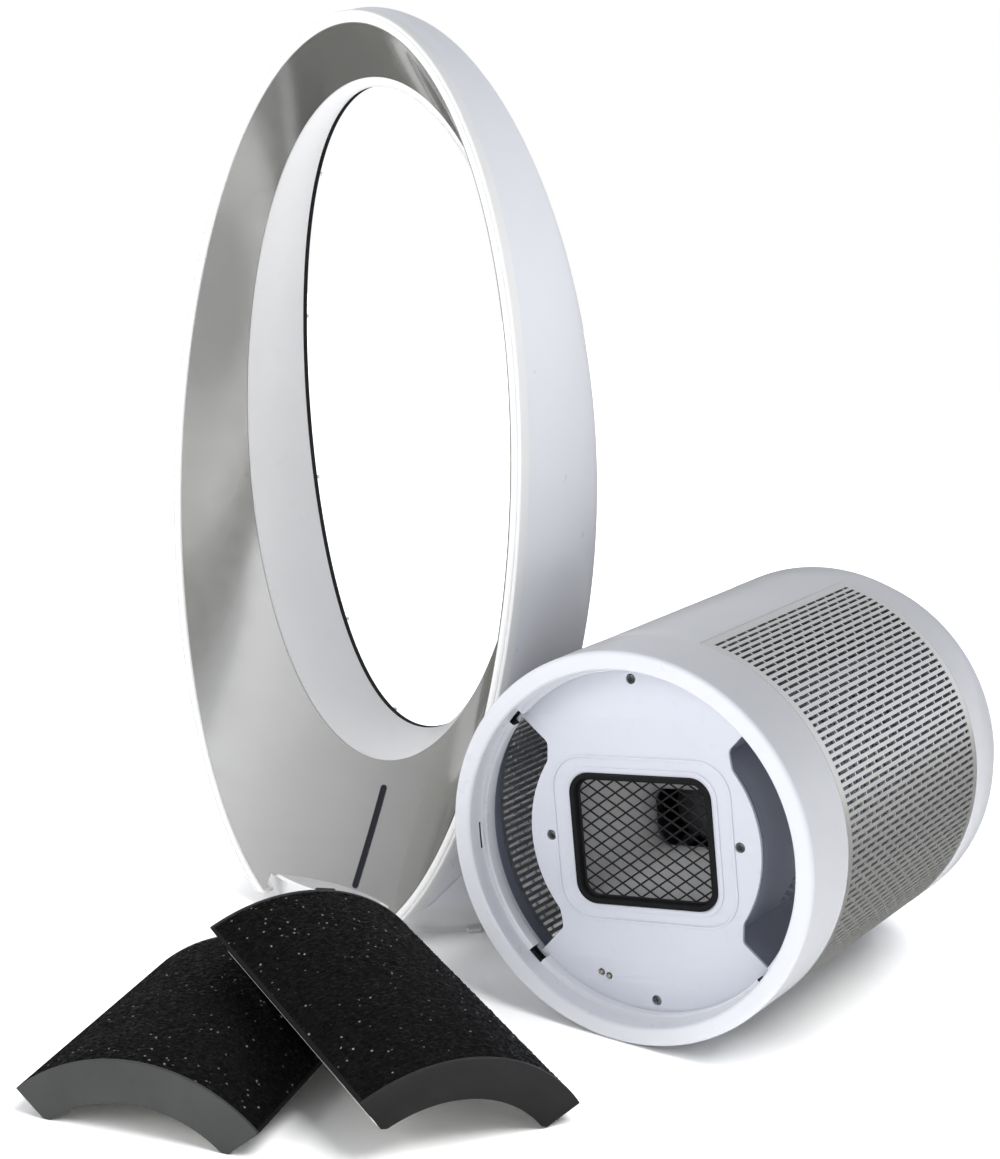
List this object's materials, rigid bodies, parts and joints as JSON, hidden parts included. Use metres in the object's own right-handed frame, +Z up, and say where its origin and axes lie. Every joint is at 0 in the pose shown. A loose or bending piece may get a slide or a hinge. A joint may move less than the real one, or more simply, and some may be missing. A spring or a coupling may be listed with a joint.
{
  "type": "tower fan",
  "caption": "Tower fan without visible blades, apart for cleaning: round base unit on its side, tall oval air loop on its collar, and two curved carbon filters.",
  "frame": {"origin": "middle of the whole layout's outline on the floor", "axes": "+Z up; +Y from the open top end of the lying base towards its foot; +X from the loop towards the base"},
  "size_m": [0.4576, 0.5441, 0.5421],
  "materials": {
    "white_gloss": "smooth moulded, soft gloss",
    "white_satin": "satin moulded",
    "silver_panel": "silver coating, glossy",
    "plate_plastic": "fine satin",
    "grille_metal": "satin",
    "screen_metal": "satin",
    "black_plastic": "satin",
    "black_gloss": "gloss",
    "black_rubber": "matt",
    "screw_steel": "satin",
    "contact_brass": "plain",
    "inner_plastic": "satin",
    "motor_steel": "satin",
    "fan_plastic": "satin",
    "gear_plastic": "plain",
    "board": "plain",
    "button_metal": "satin",
    "carbon_media": "granular, matt with small bright grains",
    "particle_media": "pleated, matt",
    "left_cap_plastic": "satin",
    "filter_plastic": "satin"
  },
  "bodies": {
    "base": {"body_housing": "white_gloss", "top_ring": "white_gloss", "top_plate": "plate_plastic", "plate_screws": "screw_steel", "window_gasket": "black_rubber", "mesh_guard": "black_plastic", "contact_pins": "contact_brass", "latch_springs": "screen_metal", "left_grille": "grille_metal", "right_grille": "grille_metal", "left_inner_screen": "screen_metal", "right_inner_screen": "screen_metal", "bay_frame": "inner_plastic", "throat_plate": "inner_plastic", "chassis_floor": "inner_plastic", "chassis_screws": "screw_steel", "blower_housing": "inner_plastic", "blower_bushes": "black_rubber", "outlet_duct": "inner_plastic", "motor_mount": "inner_plastic", "motor": "motor_steel", "control_board": "board", "power_board": "board", "swing_motor": "motor_steel", "swivel_bearing": "gear_plastic", "display_window": "black_gloss", "button_switch": "black_plastic"},
    "impeller": {"impeller": "fan_plastic", "motor_shaft": "screw_steel"},
    "pinion": {"swing_pinion": "gear_plastic"},
    "foot": {"foot": "plate_plastic", "foot_plate": "screen_metal", "foot_gear": "gear_plastic", "gear_clip": "screw_steel", "rubber_feet": "black_rubber", "power_inlet": "black_plastic"},
    "button": {"power_button": "button_metal"},
    "loop": {"loop_rim": "white_gloss", "loop_panel": "silver_panel", "loop_inner_ring": "white_satin", "loop_shell": "white_gloss", "loop_skirt": "white_gloss", "loop_collar": "white_satin", "loop_screws": "screw_steel", "slot_seal": "black_rubber", "slot_spacers": "white_satin", "light_bar": "black_gloss", "light_board": "board", "collar_gasket": "black_rubber", "contact_pads": "contact_brass"},
    "left_filter": {"left_carbon_block": "carbon_media", "left_particle_block": "particle_media", "left_end_caps": "left_cap_plastic", "left_side_rails": "filter_plastic", "left_pull_tab": "filter_plastic"},
    "right_filter": {"right_carbon_block": "carbon_media", "right_particle_block": "particle_media", "right_end_caps": "filter_plastic", "right_side_rails": "filter_plastic", "right_pull_tab": "filter_plastic"}
  },
  "joints": [
    {"name": "impeller_spin", "type": "hinge", "parent": "base", "child": "impeller", "pos_m": [0.11875, 0.1424, 0.11], "axis": [0, 1, 0], "continuous": true},
    {"name": "foot_swivel", "type": "hinge", "parent": "base", "child": "foot", "pos_m": [0.11875, 0.2624, 0.11], "axis": [0, 1, 0], "range_deg": [-40, 40]},
    {"name": "pinion_spin", "type": "hinge", "parent": "base", "child": "pinion", "pos_m": [0.15031, 0.2384, 0.11528], "axis": [0, 1, 0], "range_deg": [-122, 122]},
    {"name": "power_button_press", "type": "slide", "parent": "base", "child": "button", "axis": [-0.165, 0, 0.9863], "range_m": [0, 0.0015], "stiffness_N_per_m": 400, "springref_m": -0.0005},
    {"name": "loop_lift", "type": "slide", "parent": "base", "child": "loop", "axis": [0, 0, 1], "range_m": [0, 0.25]},
    {"name": "left_filter_slide", "type": "slide", "parent": "base", "child": "left_filter", "axis": [0.2504, -0.9681, 0], "range_m": [0, 0.25]},
    {"name": "right_filter_lift", "type": "slide", "parent": "base", "child": "right_filter", "axis": [0, 0, 1], "range_m": [0, 0.15]}
  ],
  "couplings": [
    {"joint": "pinion_spin", "follows": "foot_swivel", "ratio": -3}
  ]
}
